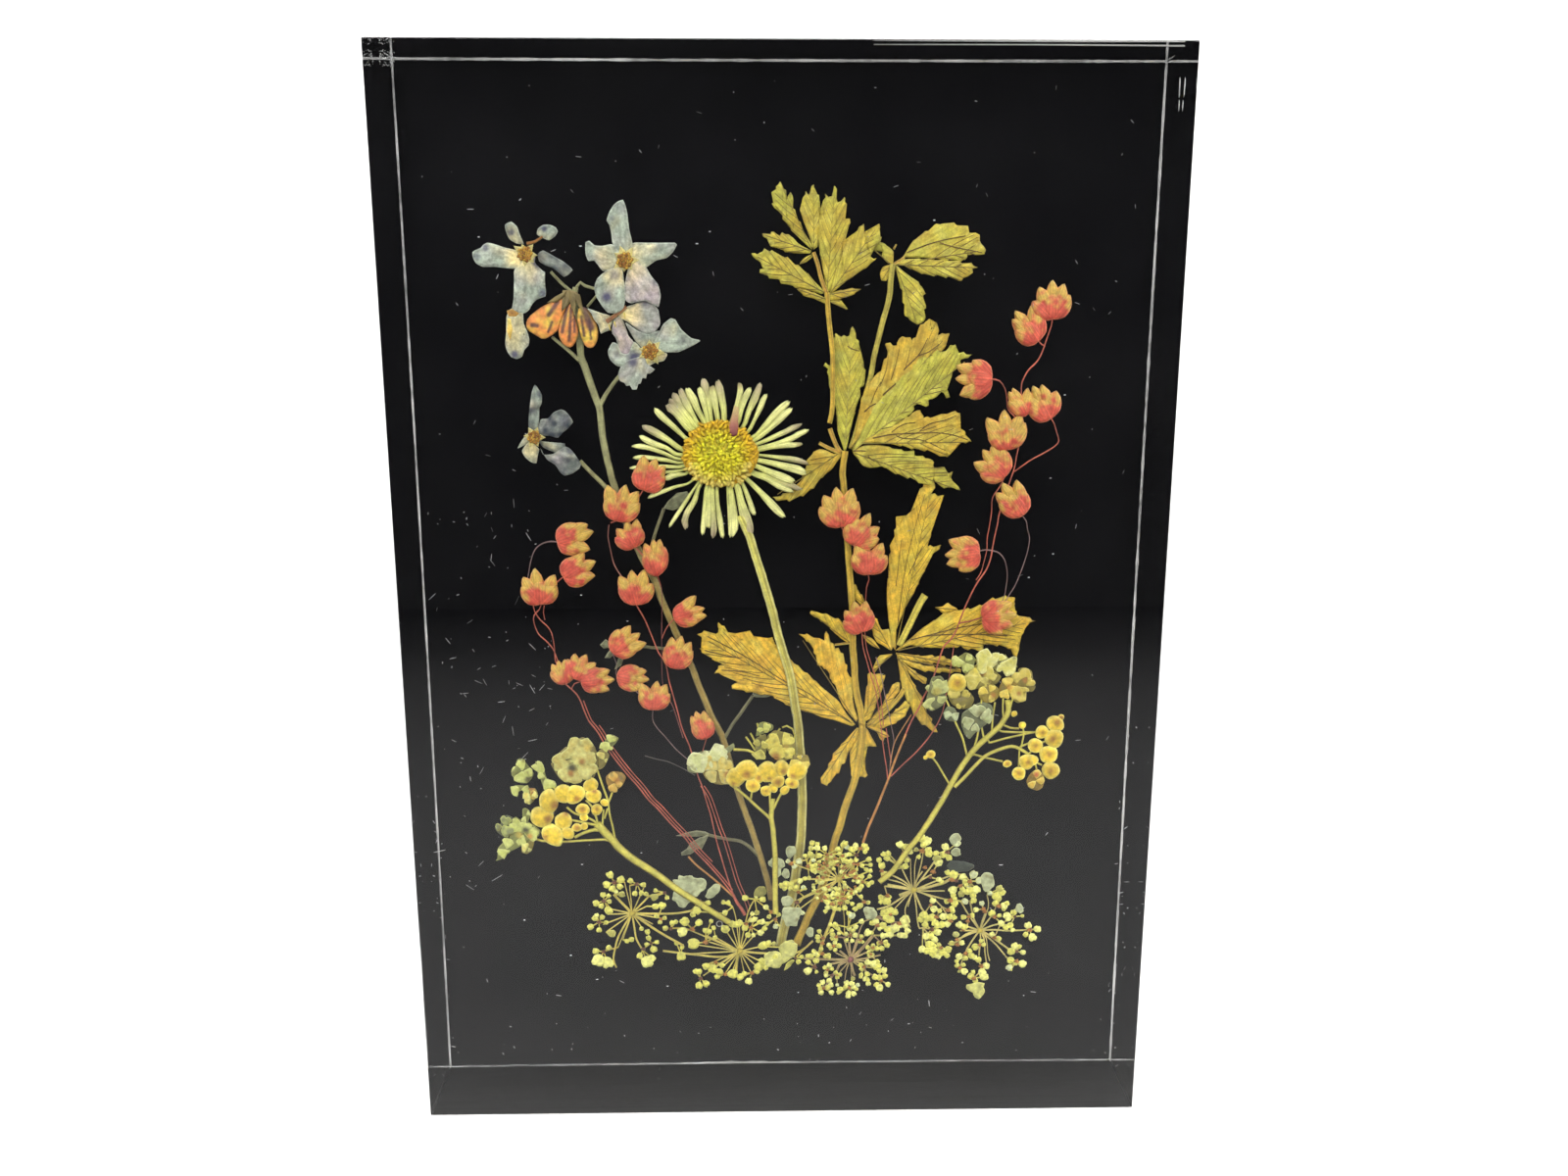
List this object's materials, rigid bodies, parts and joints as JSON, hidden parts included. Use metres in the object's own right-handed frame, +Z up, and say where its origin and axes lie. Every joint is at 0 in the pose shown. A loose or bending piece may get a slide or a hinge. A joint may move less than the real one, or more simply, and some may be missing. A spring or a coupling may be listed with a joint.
{
  "type": "pressed flower display block",
  "caption": "Clear cast block with pressed garden flowers and grasses sealed inside, flat face and square edges, black sheet glued on the back.",
  "frame": {"origin": "centre of the foot of the block's bounding box", "axes": "+Z up along the height, front face towards -Y, width along X"},
  "size_m": [0.127, 0.0276, 0.1818],
  "materials": {
    "clear_block": "polished clear acrylic",
    "black_backing": "smooth black sheet glued on the back",
    "daisy_rays": "dry pale yellow petals with some red tips",
    "daisy_disc": "dry golden yellow tube florets",
    "plant_stem": "dry olive stem",
    "leaf": "dry olive to golden leaf with dark veins",
    "blue_petal": "dry thin grey-blue petals",
    "orange_bud": "dry orange-brown buds",
    "grass": "dry coral-red spikelets and thread stalks",
    "yellow_bud": "dry yellow buds with brown spots",
    "lace_floret": "dry cream florets on golden stalks"
  },
  "bodies": {
    "root": {"black_backing": "black_backing", "clear_block_front": "clear_block", "clear_block_back": "clear_block", "daisy_rays": "daisy_rays", "daisy_disc": "daisy_disc", "daisy_stem": "plant_stem", "leaf_top_left": "leaf", "leaf_top_right": "leaf", "leaf_middle": "leaf", "leaf_right": "leaf", "leaf_lower": "leaf", "blue_flower_left": "blue_petal", "blue_flower_top": "blue_petal", "blue_flower_middle": "blue_petal", "blue_flower_right": "blue_petal", "blue_flower_low": "blue_petal", "blue_flower_buds": "orange_bud", "blue_flower_stem": "plant_stem", "grass_right": "grass", "grass_middle": "grass", "grass_left_inner": "grass", "grass_left_outer": "grass", "bud_cluster_left": "yellow_bud", "bud_cluster_middle": "yellow_bud", "bud_cluster_right": "yellow_bud", "umbel_far_left": "lace_floret", "umbel_left": "lace_floret", "umbel_middle": "lace_floret", "umbel_low": "lace_floret", "umbel_right": "lace_floret", "umbel_far_right": "lace_floret"}
  },
  "joints": []
}
